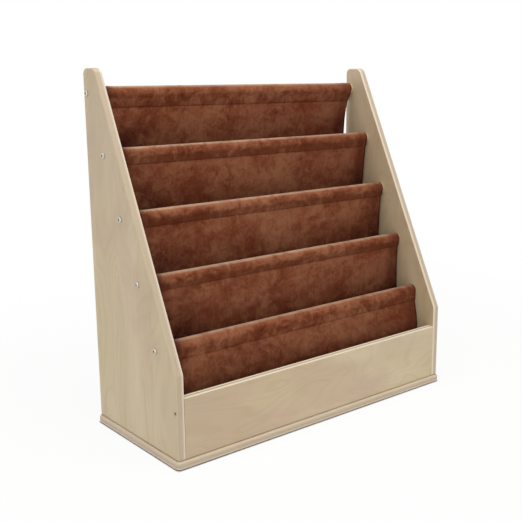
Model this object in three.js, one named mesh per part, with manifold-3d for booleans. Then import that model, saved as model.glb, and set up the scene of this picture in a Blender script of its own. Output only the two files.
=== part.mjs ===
// Sling bookshelf for children: two sloping plywood sides, a base board and a low front board,
// with cloth pockets hung in a U between five round dowels.
// Millimetres. +X is to the right, -Y is the front, +Z is up.
// The origin is on the floor under the middle of the base board.

import * as THREE from 'three';
import { mergeVertices } from 'three/addons/utils/BufferGeometryUtils.js';
import Module from 'manifold-3d';

const wasm = await Module();
wasm.setup();

// Boards
const overallHeight = 762;
const bodyWidth = 762;
const sideThickness = 17.5;
const sideDepth = 311;
const sideTopDepth = 46;
const kneeHeight = 190.5;
const topBackRadius = 13;
const topFrontRadius = 18;
const kneeRadius = 12;
const baseThickness = 17.5;
const baseOverhang = 5;
const baseCornerRadius = 11;
const baseEdgeRound = 5;
const baseFootRound = 3.5;
const frontThickness = 17.5;
const frontHeight = 126;
const edgeRound = 3;

// Dowels: the first is near the top at the back, and the rest follow the sloping edge down
const dowelCount = 5;
const dowelDiameter = 25.4;
const firstDowelDrop = 50;
const firstDowelBackInset = 12.5;
const lastDowelRise = 32.5;

// Cloth
const clothThickness = 1.2;
const clothPlay = 13;
const pocketDrop = 150;
const loopRise = 35;
const rippleHeight = 1.5;
const rippleWaves = 1.5;
// How much of the play lies at the cloth's right edge, at each dowel and at each pocket's bottom
const dowelPlayShares = [0.46, 0.38, 0.38, 0.23, 0.12];
const loopPlayShares = [0.77, 0.46, 0.38, 0.23];
// One entry for each dowel: where its seam and its hanging wall lie, as shares of the tunnel's radius
const seamShiftShares = [0.15, -0.5, -0.48, -0.59, -0.81];
const seamDropShares = [2.23, 1.6, 1.54, 1.38, 1.8];
const wallMidShares = [0.7, -0.11, -0.26, -0.51, -1.55];
const wallLowShares = [0.88, 0.22, -0.15, -0.55, -1.5];
const wallMidDropShare = 0.5;

// Screws
const panHeadDiameter = 12.5;
const panHeadHeight = 3;
// The head's domed side, as shares of its radius and height
const panHeadShares = [[1, 0.35], [0.82, 0.82], [0.5, 1], [0, 1]];
const flatHeadDiameter = 9;
const flatHeadHeight = 3.2;
const shankDiameter = 4.6;
const screwPointLength = 4;
const crossSlotWidth = 1.8;
const crossSlotLength = 7;
const crossSlotDepth = 1.8;
const dowelScrewBite = 32;
const frontScrewBite = 34;
const baseScrewBite = 30;
const frontScrewSink = 1;
const frontScrewHeight = 114;
const frontScrewInset = 7.5;
const baseScrewEndInset = 45;

// Clearances
const fitGap = 0.3;
const cutOverrun = 5;

// Fineness of the round stretches
const arcSteps = 6;
const edgeSteps = 2;
const baseEdgeSteps = 3;
const dowelSides = 24;
const screwSides = 12;
const tunnelSteps = 10;
const wallSteps = 5;
const loopSteps = 8;
const clothStations = 10;

// Places that follow from the sizes above
const halfWidth = bodyWidth / 2;
const innerHalfWidth = halfWidth - sideThickness;
const frontY = -sideDepth / 2;
const backY = sideDepth / 2;
const baseTop = baseThickness;
const boardFoot = baseTop + fitGap;
const slopeRun = sideDepth - sideTopDepth;
const slopeRise = overallHeight - kneeHeight;
const firstDowelZ = overallHeight - firstDowelDrop;
const lastDowelZ = kneeHeight + lastDowelRise;
const dowelLength = 2 * (innerHalfWidth - fitGap);
const tunnelRadius = dowelDiameter / 2 + fitGap + clothThickness / 2;
const layerPitch = clothThickness + fitGap;
const clothWidth = 2 * innerHalfWidth - clothPlay;

const finishes = {
  ply: new THREE.MeshStandardMaterial({ color: '#c9b58f', roughness: 0.55, metalness: 0 }),
  dowel: new THREE.MeshStandardMaterial({ color: '#d2bb90', roughness: 0.65, metalness: 0 }),
  cloth: new THREE.MeshStandardMaterial({ color: '#754330', roughness: 0.85, metalness: 0 }),
  steel: new THREE.MeshStandardMaterial({ color: '#c3c5c8', roughness: 0.35, metalness: 1 }),
};

// Solids: joining and cutting closed meshes

function toSolid(geometry) {
  const bare = geometry.clone();
  bare.deleteAttribute('normal');
  bare.deleteAttribute('uv');
  const merged = mergeVertices(bare);
  return new wasm.Manifold(new wasm.Mesh({
    numProp: 3,
    vertProperties: new Float32Array(merged.attributes.position.array),
    triVerts: new Uint32Array(merged.index.array),
  }));
}

function toGeometry(solid) {
  const mesh = solid.getMesh();
  const geometry = new THREE.BufferGeometry();
  geometry.setAttribute('position', new THREE.BufferAttribute(mesh.vertProperties, 3));
  geometry.setIndex(new THREE.BufferAttribute(mesh.triVerts, 1));
  geometry.computeVertexNormals();
  return geometry;
}

function cut(geometry, cutters) {
  let solid = toSolid(geometry);
  for (const cutter of cutters) {
    solid = solid.subtract(toSolid(cutter));
  }
  return toGeometry(solid);
}

// Turns a shape that was made along +Y so that it points along direction, and moves it to place
function aim(geometry, direction, place) {
  const turn = new THREE.Quaternion().setFromUnitVectors(new THREE.Vector3(0, 1, 0), direction);
  return geometry.clone().applyQuaternion(turn).translate(place.x, place.y, place.z);
}

// An outline drawn in (Y, Z) and extruded along X
function extrudeAlongX(shape, fromX, toX, options) {
  const round = options.round ?? 0;
  const geometry = new THREE.ExtrudeGeometry(shape, {
    depth: toX - fromX - 2 * round,
    bevelEnabled: round > 0,
    bevelThickness: round,
    bevelSize: round,
    bevelOffset: -round,
    bevelSegments: edgeSteps,
    curveSegments: arcSteps,
  });
  const axes = new THREE.Matrix4().makeBasis(
    new THREE.Vector3(0, 1, 0),
    new THREE.Vector3(0, 0, 1),
    new THREE.Vector3(1, 0, 0),
  );
  return geometry.applyMatrix4(axes).translate(fromX + round, 0, 0);
}

// A closed outline through corner points, each with its own radius
function roundedOutline(corners) {
  const shape = new THREE.Shape();
  corners.forEach((corner, i) => {
    const before = corners[(i + corners.length - 1) % corners.length];
    const after = corners[(i + 1) % corners.length];
    const here = new THREE.Vector2(corner.y, corner.z);
    const inward = new THREE.Vector2(before.y, before.z).sub(here).normalize();
    const onward = new THREE.Vector2(after.y, after.z).sub(here).normalize();
    const half = inward.angleTo(onward) / 2;
    const setback = corner.radius / Math.tan(half);
    const start = here.clone().addScaledVector(inward, setback);
    const end = here.clone().addScaledVector(onward, setback);
    if (i === 0) {
      shape.moveTo(start.x, start.y);
    } else {
      shape.lineTo(start.x, start.y);
    }
    if (corner.radius > 0) {
      const middle = inward.clone().add(onward).normalize();
      const centre = here.clone().addScaledVector(middle, corner.radius / Math.sin(half));
      const from = Math.atan2(start.y - centre.y, start.x - centre.x);
      const to = Math.atan2(end.y - centre.y, end.x - centre.x);
      shape.absarc(centre.x, centre.y, corner.radius, from, to, false);
    }
  });
  shape.closePath();
  return shape;
}

// Screws, made along +Y with the underside of a pan head, or the face of a flat head, at zero

function crossSlots(topY) {
  const long = new THREE.BoxGeometry(crossSlotLength, 2 * crossSlotDepth, crossSlotWidth);
  const wide = new THREE.BoxGeometry(crossSlotWidth, 2 * crossSlotDepth, crossSlotLength);
  return [long.translate(0, topY, 0), wide.translate(0, topY, 0)];
}

function panHeadScrew(length) {
  const shank = shankDiameter / 2;
  const head = panHeadDiameter / 2;
  const profile = [
    [0, -length],
    [shank, -length + screwPointLength],
    [shank, 0],
    [head, 0],
    ...panHeadShares.map(([across, up]) => [head * across, panHeadHeight * up]),
  ].map(([x, y]) => new THREE.Vector2(x, y));
  return cut(new THREE.LatheGeometry(profile, screwSides), crossSlots(panHeadHeight));
}

function flatHeadProfile(length, clearance, rise) {
  const shank = shankDiameter / 2 + clearance;
  const head = flatHeadDiameter / 2 + clearance;
  return [
    [0, -length - clearance],
    [shank, -length + screwPointLength - clearance],
    [shank, -flatHeadHeight - clearance],
    [head, -clearance],
    [head, rise],
    [0, rise],
  ].map(([x, y]) => new THREE.Vector2(x, y));
}

function flatHeadScrew(length) {
  const profile = flatHeadProfile(length, 0, 0);
  profile.splice(4, 1);
  return cut(new THREE.LatheGeometry(profile, screwSides), crossSlots(0));
}

function flatHeadHole(length) {
  return new THREE.LatheGeometry(flatHeadProfile(length, fitGap, cutOverrun), screwSides);
}

function shankHole(length) {
  const radius = shankDiameter / 2 + fitGap;
  const depth = length + fitGap + cutOverrun;
  const hole = new THREE.CylinderGeometry(radius, radius, depth, screwSides);
  return hole.translate(0, cutOverrun - depth / 2, 0);
}

// Every screw of the shelf: its kind, its length, where its head sits and which way its head faces

const dowelScrewLength = sideThickness + dowelScrewBite;
const frontScrewLength = sideThickness + frontScrewBite - frontScrewSink;
const baseScrewLength = baseThickness + baseScrewBite;
const sides = [
  { name: 'left', sign: -1 },
  { name: 'right', sign: 1 },
];

function dowelCentre(index) {
  const z = THREE.MathUtils.lerp(firstDowelZ, lastDowelZ, index / (dowelCount - 1));
  const y = backY - firstDowelBackInset - (firstDowelZ - z) * slopeRun / slopeRise;
  return { y, z };
}

const dowelScrews = [];
const frontScrews = [];
for (const side of sides) {
  const outward = new THREE.Vector3(side.sign, 0, 0);
  for (let i = 0; i < dowelCount; i += 1) {
    const centre = dowelCentre(i);
    dowelScrews.push({
      name: `dowel_screw_${side.name}_${i + 1}`,
      side: side.name,
      dowel: i,
      outward,
      place: new THREE.Vector3(side.sign * (halfWidth + fitGap), centre.y, centre.z),
    });
  }
  const frontScrewX = side.sign * (halfWidth - frontScrewSink);
  frontScrews.push({
    name: `front_panel_screw_${side.name}`,
    side: side.name,
    outward,
    place: new THREE.Vector3(frontScrewX, frontY + frontScrewInset, frontScrewHeight),
  });
}

const down = new THREE.Vector3(0, 0, -1);
const sideScrewYs = [frontY + frontThickness + baseScrewEndInset, 0, backY - baseScrewEndInset];
const baseScrews = [];
for (const side of sides) {
  sideScrewYs.forEach((y, i) => baseScrews.push({
    name: `base_screw_${side.name}_${i + 1}`,
    into: side.name,
    outward: down,
    place: new THREE.Vector3(side.sign * (halfWidth - sideThickness / 2), y, 0),
  }));
}
[-1, 0, 1].forEach((step, i) => baseScrews.push({
  name: `base_screw_front_${i + 1}`,
  into: 'front',
  outward: down,
  place: new THREE.Vector3(step * (innerHalfWidth - baseScrewEndInset), frontY + frontThickness / 2, 0),
}));

function dowelScrewHoles(list) {
  return list.map((screw) => aim(shankHole(dowelScrewLength), screw.outward, screw.place));
}

function frontScrewHoles(list) {
  const hole = flatHeadHole(frontScrewLength);
  return list.map((screw) => aim(hole, screw.outward, screw.place));
}

function baseScrewHoles(list) {
  const hole = flatHeadHole(baseScrewLength);
  return list.map((screw) => aim(hole, screw.outward, screw.place));
}

// Boards

function sidePanel(side) {
  const underFoot = boardFoot - 2 * edgeRound;
  const outline = roundedOutline([
    { y: frontY, z: underFoot, radius: 0 },
    { y: backY, z: underFoot, radius: 0 },
    { y: backY, z: overallHeight, radius: topBackRadius },
    { y: backY - sideTopDepth, z: overallHeight, radius: topFrontRadius },
    { y: frontY, z: kneeHeight, radius: kneeRadius },
  ]);
  const fromX = side.sign < 0 ? -halfWidth : innerHalfWidth;
  const blank = extrudeAlongX(outline, fromX, fromX + sideThickness, { round: edgeRound });
  const footTrim = new THREE.BoxGeometry(
    sideThickness + 2 * cutOverrun,
    sideDepth + 2 * cutOverrun,
    boardFoot + cutOverrun,
  ).translate(fromX + sideThickness / 2, 0, (boardFoot - cutOverrun) / 2);
  return cut(blank, [
    footTrim,
    ...dowelScrewHoles(dowelScrews.filter((screw) => screw.side === side.name)),
    ...frontScrewHoles(frontScrews.filter((screw) => screw.side === side.name)),
    ...baseScrewHoles(baseScrews.filter((screw) => screw.into === side.name)),
  ]);
}

// A level board with rounded corners, and the same round on all its edges
function levelBoard(fromZ, toZ, round) {
  const halfX = halfWidth + baseOverhang;
  const halfY = sideDepth / 2 + baseOverhang;
  const outline = roundedOutline([
    { y: -halfX, z: -halfY, radius: baseCornerRadius },
    { y: halfX, z: -halfY, radius: baseCornerRadius },
    { y: halfX, z: halfY, radius: baseCornerRadius },
    { y: -halfX, z: halfY, radius: baseCornerRadius },
  ]);
  return new THREE.ExtrudeGeometry(outline, {
    depth: toZ - fromZ - 2 * round,
    bevelThickness: round,
    bevelSize: round,
    bevelOffset: -round,
    bevelSegments: baseEdgeSteps,
    curveSegments: arcSteps,
  }).translate(0, 0, fromZ + round);
}

// The board's upper edge has a large round and its lower edge a small one
function baseBoard() {
  const upper = levelBoard(-2 * baseEdgeRound, baseThickness, baseEdgeRound);
  const lower = levelBoard(0, baseThickness + 2 * baseEdgeRound, baseFootRound);
  const board = toGeometry(toSolid(upper).intersect(toSolid(lower)));
  return cut(board, baseScrewHoles(baseScrews));
}

function frontPanel() {
  const outline = roundedOutline([
    { y: frontY, z: boardFoot, radius: 0 },
    { y: frontY + frontThickness, z: boardFoot, radius: 0 },
    { y: frontY + frontThickness, z: baseTop + frontHeight, radius: edgeRound },
    { y: frontY, z: baseTop + frontHeight, radius: edgeRound },
  ]);
  const endX = innerHalfWidth - fitGap;
  return cut(extrudeAlongX(outline, -endX, endX, { round: 0 }), [
    ...frontScrewHoles(frontScrews),
    ...baseScrewHoles(baseScrews.filter((screw) => screw.into === 'front')),
  ]);
}

function dowel(index) {
  const centre = dowelCentre(index);
  const radius = dowelDiameter / 2;
  const bar = new THREE.CylinderGeometry(radius, radius, dowelLength, dowelSides);
  const alongX = new THREE.Vector3(1, 0, 0);
  const blank = aim(bar, alongX, new THREE.Vector3(0, centre.y, centre.z));
  return cut(blank, dowelScrewHoles(dowelScrews.filter((screw) => screw.dowel === index)));
}

// Cloth: a path in (Y, Z) is given the cloth's thickness and carried across the shelf.
// Each point of a path also says how far its right-hand edge stays from the side panel (gap)
// and how much of the cross-wise ripple it takes (sway).

function seamPoint(index) {
  const centre = dowelCentre(index);
  return {
    y: centre.y + seamShiftShares[index] * tunnelRadius,
    z: centre.z - seamDropShares[index] * tunnelRadius,
  };
}

// Where a straight line from a point under the dowel touches the tunnel's round: side -1 front, 1 back
function tangentAngle(centre, point, side) {
  const distance = Math.hypot(point.y - centre.y, point.z - centre.z);
  const toPoint = Math.atan2(point.z - centre.z, point.y - centre.y);
  return toPoint + side * Math.acos(tunnelRadius / distance);
}

// From the seam's back layer up behind the dowel, over it and down to the seam's front layer
function tunnelPath(index) {
  const centre = dowelCentre(index);
  const seam = seamPoint(index);
  const backSeam = { y: seam.y + layerPitch, z: seam.z };
  const fromAngle = tangentAngle(centre, backSeam, 1);
  const toAngle = tangentAngle(centre, seam, -1) + 2 * Math.PI;
  const points = [{ ...backSeam }];
  // The facets stand on the round, so that their flats keep clear of the dowel
  const cornerRadius = tunnelRadius / Math.cos((toAngle - fromAngle) / tunnelSteps / 2);
  for (let i = 0; i <= tunnelSteps; i += 1) {
    const angle = THREE.MathUtils.lerp(fromAngle, toAngle, i / tunnelSteps);
    points.push({
      y: centre.y + cornerRadius * Math.cos(angle),
      z: centre.z + cornerRadius * Math.sin(angle),
    });
  }
  points.push({ ...seam });
  return points.map((point) => ({ ...point, gap: dowelPlayShares[index] * clothPlay, sway: 0 }));
}

// The hanging wall under a seam, down to where the pocket behind it starts to round
function wallPath(index, lowShare) {
  const centre = dowelCentre(index);
  const seam = seamPoint(index);
  const lowDrop = pocketDrop - loopRise;
  const curve = new THREE.SplineCurve([
    new THREE.Vector2(seam.y, seam.z),
    new THREE.Vector2(
      centre.y + wallMidShares[index] * tunnelRadius,
      centre.z - wallMidDropShare * pocketDrop,
    ),
    new THREE.Vector2(centre.y + wallLowShares[index] * tunnelRadius, centre.z - lowDrop),
  ]);
  return curve.getPoints(wallSteps).map((point, i) => ({
    y: point.x,
    z: point.y,
    gap: THREE.MathUtils.lerp(dowelPlayShares[index], lowShare, i / wallSteps) * clothPlay,
    sway: THREE.MathUtils.smoothstep(i, 0, wallSteps),
  }));
}

// One pocket: its tunnel, the wall that hangs from it, the round bottom, and the wall that rises
// to the next dowel's seam. The last pocket's rising wall goes on over its dowel as a tunnel.
function slingPath(index) {
  const next = index + 1;
  const isLast = next === dowelCount - 1;
  const back = wallPath(index, loopPlayShares[index]);
  const rising = wallPath(next, dowelPlayShares[next]).reverse();
  const shift = isLast ? 0 : layerPitch;
  const front = rising.map((point) => ({ ...point, y: point.y + shift }));
  const backFoot = back[back.length - 1];
  const frontFoot = front[0];
  const halfDepth = (backFoot.y - frontFoot.y) / 2;
  const loop = [];
  for (let i = 0; i < loopSteps; i += 1) {
    const angle = Math.PI * i / loopSteps;
    loop.push({
      y: frontFoot.y + halfDepth + halfDepth * Math.cos(angle),
      z: frontFoot.z - loopRise * Math.sin(angle),
      gap: THREE.MathUtils.lerp(loopPlayShares[index], dowelPlayShares[next], i / loopSteps) * clothPlay,
      sway: 1,
    });
  }
  const path = [...tunnelPath(index), ...back.slice(1), ...loop, ...front];
  if (isLast) {
    return [...path.slice(0, -1), ...tunnelPath(next).reverse()];
  }
  const end = path[path.length - 1];
  end.z -= layerPitch;
  return path;
}

// Both faces of the cloth, as one closed outline
function thickened(path) {
  const half = clothThickness / 2;
  const faces = [1, -1].map((side) => path.map((point, i) => {
    const before = path[Math.max(i - 1, 0)];
    const after = path[Math.min(i + 1, path.length - 1)];
    const inward = new THREE.Vector2(point.y - before.y, point.z - before.z);
    const onward = new THREE.Vector2(after.y - point.y, after.z - point.z);
    if (i === 0) {
      inward.copy(onward);
    }
    if (i === path.length - 1) {
      onward.copy(inward);
    }
    inward.normalize();
    onward.normalize();
    const along = inward.clone().add(onward).normalize();
    const reach = half / along.dot(inward);
    return { ...point, y: point.y - side * reach * along.y, z: point.z + side * reach * along.x };
  }));
  return [...faces[0], ...faces[1].reverse()];
}

function sling(index) {
  const outline = thickened(slingPath(index));
  const rim = outline.length;
  const flat = outline.map((point) => new THREE.Vector2(point.y, point.z));
  if (THREE.ShapeUtils.isClockWise(flat)) {
    flat.reverse();
    outline.reverse();
  }
  const positions = [];
  const triangles = [];
  for (let station = 0; station <= clothStations; station += 1) {
    const share = station / clothStations;
    const ripple = rippleHeight * Math.sin(2 * Math.PI * rippleWaves * share);
    for (const point of outline) {
      const rightX = innerHalfWidth - point.gap;
      positions.push(rightX - clothWidth * (1 - share), point.y + point.sway * ripple, point.z);
    }
  }
  for (let station = 0; station < clothStations; station += 1) {
    for (let i = 0; i < rim; i += 1) {
      const a = station * rim + i;
      const b = station * rim + (i + 1) % rim;
      triangles.push(a, b, a + rim, b, b + rim, a + rim);
    }
  }
  const lastRing = clothStations * rim;
  for (const [a, b, c] of THREE.ShapeUtils.triangulateShape(flat, [])) {
    triangles.push(c, b, a);
    triangles.push(lastRing + a, lastRing + b, lastRing + c);
  }
  const geometry = new THREE.BufferGeometry();
  geometry.setAttribute('position', new THREE.Float32BufferAttribute(positions, 3));
  geometry.setIndex(triangles);
  geometry.computeVertexNormals();
  return geometry;
}

// The shelf

const bookshelf = new THREE.Group();

function add(name, geometry, material) {
  const mesh = new THREE.Mesh(geometry, material);
  mesh.name = name;
  bookshelf.add(mesh);
}

add('base_board', baseBoard(), finishes.ply);
for (const side of sides) {
  add(`${side.name}_side_panel`, sidePanel(side), finishes.ply);
}
add('front_panel', frontPanel(), finishes.ply);
for (let i = 0; i < dowelCount; i += 1) {
  add(`dowel_${i + 1}`, dowel(i), finishes.dowel);
}
for (let i = 0; i < dowelCount - 1; i += 1) {
  add(`sling_${i + 1}`, sling(i), finishes.cloth);
}
const dowelScrew = panHeadScrew(dowelScrewLength);
for (const screw of dowelScrews) {
  add(screw.name, aim(dowelScrew, screw.outward, screw.place), finishes.steel);
}
const frontScrew = flatHeadScrew(frontScrewLength);
for (const screw of frontScrews) {
  add(screw.name, aim(frontScrew, screw.outward, screw.place), finishes.steel);
}
const baseScrew = flatHeadScrew(baseScrewLength);
for (const screw of baseScrews) {
  add(screw.name, aim(baseScrew, screw.outward, screw.place), finishes.steel);
}

export default bookshelf;
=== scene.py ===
# A sling bookshelf: birch plywood boards, five round dowels and sewn cloth pockets between them.
# Metres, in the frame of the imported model: +X to the right, -Y to the front, +Z up.

import math
from types import SimpleNamespace

import bmesh
import bpy
from mathutils import Matrix, Quaternion, Vector, noise


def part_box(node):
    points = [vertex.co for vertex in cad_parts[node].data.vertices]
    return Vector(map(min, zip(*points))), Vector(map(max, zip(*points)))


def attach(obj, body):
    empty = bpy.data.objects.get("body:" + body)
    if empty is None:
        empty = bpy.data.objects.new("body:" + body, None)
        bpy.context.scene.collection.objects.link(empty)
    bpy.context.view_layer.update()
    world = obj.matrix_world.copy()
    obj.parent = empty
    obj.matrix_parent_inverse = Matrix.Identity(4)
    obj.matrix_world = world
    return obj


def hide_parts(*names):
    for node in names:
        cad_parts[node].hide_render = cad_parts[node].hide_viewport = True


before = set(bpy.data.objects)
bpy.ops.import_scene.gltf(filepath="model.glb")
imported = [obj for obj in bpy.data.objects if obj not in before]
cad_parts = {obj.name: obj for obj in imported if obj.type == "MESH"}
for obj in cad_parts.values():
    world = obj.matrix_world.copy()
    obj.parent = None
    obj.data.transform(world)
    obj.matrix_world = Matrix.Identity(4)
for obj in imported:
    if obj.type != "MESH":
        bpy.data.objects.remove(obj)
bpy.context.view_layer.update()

print("frame loaded:", len(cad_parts), "nodes")


# Camera

viewpoint = {
    "place": (-1.1785, -1.4091, 0.7321),
    "lookAt": (-0.0485, 0.0, 0.3409),
    "roll": math.radians(-0.604),
    "lens": 57.18,
    "sensor": 36.0,
}


def addCamera(settings):
    place = Vector(settings["place"])
    ahead = Vector(settings["lookAt"]) - place
    bpy.ops.object.camera_add(location=place)
    camera = bpy.context.active_object
    camera.name = "photoCamera"
    camera.rotation_mode = "QUATERNION"
    roll = Quaternion((0, 0, 1), settings["roll"])
    camera.rotation_quaternion = ahead.to_track_quat("-Z", "Y") @ roll
    camera.data.lens = settings["lens"]
    camera.data.sensor_width = settings["sensor"]
    bpy.context.scene.camera = camera


addCamera(viewpoint)
print("camera placed")


# Materials: a wrapper for sockets, and one maker of nodes

def fromScreen(red, green, blue):
    # a screen colour of 0 to 255 as the linear colour that a shader takes
    levels = [level / 255 for level in (red, green, blue)]
    linear = [v / 12.92 if v <= 0.04045 else ((v + 0.055) / 1.055) ** 2.4 for v in levels]
    return (*linear, 1.0)


class Signal:
    # an output socket that can be used in sums
    def __init__(self, finish, socket):
        self.finish = finish
        self.socket = socket

    def out(self, name):
        return Signal(self.finish, self.socket.node.outputs[name])

    def __add__(self, other):
        return self.finish.sum("ADD", self, other)

    def __radd__(self, other):
        return self.finish.sum("ADD", other, self)

    def __sub__(self, other):
        return self.finish.sum("SUBTRACT", self, other)

    def __rsub__(self, other):
        return self.finish.sum("SUBTRACT", other, self)

    def __mul__(self, other):
        return self.finish.sum("MULTIPLY", self, other)

    def __rmul__(self, other):
        return self.finish.sum("MULTIPLY", other, self)

    def __truediv__(self, other):
        return self.finish.sum("DIVIDE", self, other)

    def __mod__(self, other):
        return self.finish.sum("MODULO", self, other)

    def __abs__(self):
        return self.finish.sum("ABSOLUTE", self)


class Finish:
    # one material, whose nodes all come from node()
    def __init__(self, name, holder=None):
        self.material = holder or bpy.data.materials.new(name)
        self.material.use_nodes = True
        self.tree = self.material.node_tree
        self.tree.nodes.clear()

    def node(self, kind, settings=None, inputs=None, output=0):
        made = self.tree.nodes.new(kind)
        for name, value in (settings or {}).items():
            if name == "stops":
                self.setStops(made.color_ramp, value)
            else:
                setattr(made, name, value)
        for name, value in (inputs or {}).items():
            if isinstance(value, Signal):
                self.tree.links.new(value.socket, made.inputs[name])
            else:
                made.inputs[name].default_value = value
        return Signal(self, made.outputs[output]) if len(made.outputs) else None

    def setStops(self, ramp, stops):
        while len(ramp.elements) < len(stops):
            ramp.elements.new(0.5)
        for element, (position, colour) in zip(ramp.elements, stops):
            element.position = position
            element.color = colour

    def sum(self, operation, *terms):
        return self.node("ShaderNodeMath", {"operation": operation}, dict(enumerate(terms)))

    def between(self, value, low, high):
        # 0 under low, 1 over high, and smooth in the middle
        settings = {"interpolation_type": "SMOOTHSTEP"}
        inputs = {"Value": value, "From Min": low, "From Max": high, "To Min": 0.0, "To Max": 1.0}
        return self.node("ShaderNodeMapRange", settings, inputs)

    def point(self, x, y, z):
        return self.node("ShaderNodeCombineXYZ", None, {"X": x, "Y": y, "Z": z})

    def coordinates(self, kind="Object"):
        # the X, Y and Z of one kind of texture coordinate
        place = self.node("ShaderNodeTexCoord", output=kind)
        return self.node("ShaderNodeSeparateXYZ", None, {"Vector": place})

    def mark(self, name):
        # what the piece's own attribute says at each point
        return self.node("ShaderNodeAttribute", {"attribute_name": name}, None, "Fac")

    def cloud(self, where, detail, roughness=0.5, distortion=0.0):
        character = {"Scale": 1.0, "Detail": detail, "Roughness": roughness, "Distortion": distortion}
        return self.node("ShaderNodeTexNoise", None, {"Vector": where, **character})

    def speckle(self, fineness, detail):
        # an even noise all through the piece
        place = self.node("ShaderNodeTexCoord", output="Object")
        scaled = self.node("ShaderNodeVectorMath", {"operation": "SCALE"}, {0: place, "Scale": fineness})
        return self.cloud(scaled, detail)

    def patterns(self, table, place, seed=0.0):
        # a noise for each line of a table: its changes per metre along each part of place, its own seed,
        # and the noise's detail, roughness and distortion
        found = []
        for fineness, ownSeed, *character in table.values():
            x, y, z = (part * fine for part, fine in zip(place, fineness))
            found.append(self.cloud(self.point(x, y, z + (seed + ownSeed)), *character))
        return found

    def mix(self, first, second, share):
        # a Mix node's colours are its inputs 6 and 7, and their mix is its output 2
        settings = {"data_type": "RGBA", "clamp_factor": True}
        return self.node("ShaderNodeMix", settings, {0: share, 6: first, 7: second}, 2)

    def ramp(self, value, stops):
        return self.node("ShaderNodeValToRGB", {"stops": stops}, {"Fac": value})

    def bump(self, height, distance):
        return self.node("ShaderNodeBump", None, {"Height": height, "Distance": distance})

    def surface(self, inputs):
        return self.close(self.node("ShaderNodeBsdfPrincipled", None, inputs))

    def close(self, shader, kind="ShaderNodeOutputMaterial"):
        self.node(kind, None, {"Surface": shader})
        return self.material


# Pieces: small helpers for modelling as by hand

picking = {
    "touch": 0.00005,  # how near two places count as one
    "straight": 0.9,  # how much of an edge's direction lies on an axis that it runs along
    "least": 1e-9,  # a length that is safe to divide by
}


def meets(first, second):
    return abs(first - second) < picking["touch"]


def runsAlong(axis, direction):
    return abs(getattr(direction, axis)) > picking["straight"]


def deselectAll():
    bpy.ops.object.select_all(action="DESELECT")


def selectOnly(piece):
    deselectAll()
    piece.select_set(True)
    bpy.context.view_layer.objects.active = piece


def startEditing(piece, what="EDGE"):
    selectOnly(piece)
    bpy.ops.object.mode_set(mode="EDIT")
    bpy.ops.mesh.select_mode(type=what)


def stopEditing():
    bpy.ops.object.mode_set(mode="OBJECT")


def named(name):
    # the object that an operator has just added, with its place put into its mesh
    piece = bpy.context.active_object
    piece.name = name
    piece.data.name = name
    bpy.ops.object.transform_apply(location=True, rotation=True, scale=True)
    return piece


def boxPiece(name, low, high):
    deselectAll()
    bpy.ops.mesh.primitive_cube_add(size=1, location=(low + high) / 2)
    bpy.context.active_object.scale = high - low
    return named(name)


def chooseEdges(piece, wanted):
    # wanted takes an edge's middle and its direction
    work = bmesh.from_edit_mesh(piece.data)
    for part in (*work.faces, *work.edges, *work.verts):
        part.select_set(False)
    for edge in work.edges:
        first, second = (corner.co for corner in edge.verts)
        if wanted((first + second) / 2, (second - first).normalized()):
            edge.select_set(True)
    bmesh.update_edit_mesh(piece.data)


def roundEdges(offset, steps):
    bpy.ops.mesh.bevel(offset_type="OFFSET", offset=offset, segments=steps, profile=0.5, affect="EDGES")


def stand(piece, place, outward, turn=0.0):
    # moves the mesh of a piece made along +Z, so that it starts at place and points outward
    pose = Vector((0, 0, 1)).rotation_difference(outward) @ Quaternion((0, 0, 1), turn)
    piece.data.transform(Matrix.Translation(place) @ pose.to_matrix().to_4x4())


def turnedPiece(name, profile, sides, place, outward):
    # a round piece, made ring by ring: each ring of the profile is (radius, height along outward)
    deselectAll()
    radius, height = profile[0]
    bpy.ops.mesh.primitive_circle_add(
        vertices=sides, radius=radius, fill_type="NGON", location=(0, 0, height),
    )
    piece = named(name)
    startEditing(piece, "FACE")
    bpy.ops.mesh.select_all(action="SELECT")
    for (lastRadius, lastHeight), (nextRadius, nextHeight) in zip(profile, profile[1:]):
        rise = {"value": (0, 0, nextHeight - lastHeight)}
        bpy.ops.mesh.extrude_region_move(TRANSFORM_OT_translate=rise)
        spread = nextRadius / lastRadius
        bpy.ops.transform.resize(value=(spread, spread, 1), center_override=(0, 0, nextHeight))
    bpy.ops.mesh.select_all(action="SELECT")
    bpy.ops.mesh.normals_make_consistent(inside=False)
    stopEditing()
    stand(piece, place, outward)
    return piece


def applyModifier(piece, kind, **settings):
    selectOnly(piece)
    modifier = piece.modifiers.new(kind.lower(), kind)
    for name, value in settings.items():
        setattr(modifier, name, value)
    bpy.ops.object.modifier_apply(modifier=modifier.name)


def cutAway(piece, cutters):
    for cutter in cutters:
        applyModifier(piece, "BOOLEAN", operation="DIFFERENCE", solver="EXACT", object=cutter)
        bpy.data.objects.remove(cutter)


def smoothed(piece, angle=35):
    # soft shading over the rounds, with flat faces kept flat
    selectOnly(piece)
    bpy.ops.object.shade_smooth_by_angle(angle=math.radians(angle))
    applyModifier(piece, "WEIGHTED_NORMAL", mode="FACE_AREA", weight=100, keep_sharp=True)


def settle(piece, material, slot, *nodes):
    piece.data.materials.clear()
    piece.data.materials.append(material)
    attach(piece, "root")
    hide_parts(*nodes)


# Wood

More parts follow.
